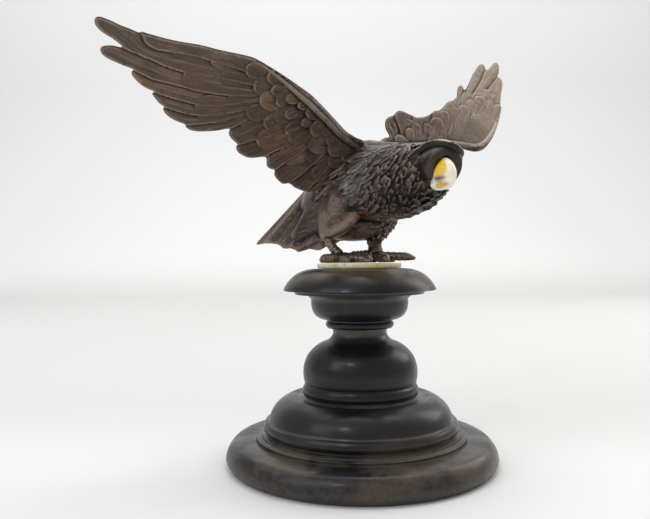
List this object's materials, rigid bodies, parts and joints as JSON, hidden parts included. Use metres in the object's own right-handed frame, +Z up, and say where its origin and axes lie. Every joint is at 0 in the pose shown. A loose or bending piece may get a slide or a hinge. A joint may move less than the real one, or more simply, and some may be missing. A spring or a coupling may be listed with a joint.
{
  "type": "bronze eagle statue on a turned plinth",
  "caption": "Bronze eagle with raised wings and an ivory-coloured hooked beak, standing on a pale disc on a turned ebonised wood plinth.",
  "frame": {"origin": "middle of the plinth's underside, on the surface it stands on", "axes": "+Z up; the eagle's trunk heads towards +X and -Y, its right wing reaches -X and its left wing +X"},
  "size_m": [0.2301, 0.1669, 0.2486],
  "materials": {
    "ebonised_wood": "turned wood stained black, satin wax polish",
    "pale_stone": "cream, slightly translucent, smooth",
    "brown_bronze": "dark brown patina on cast bronze, rubbed lighter on raised edges",
    "aged_ivory": "cream to yellow, smooth satin gloss"
  },
  "bodies": {
    "root": {"plinth": "ebonised_wood", "disc": "pale_stone", "eagle": "brown_bronze", "beak": "aged_ivory"}
  },
  "joints": []
}
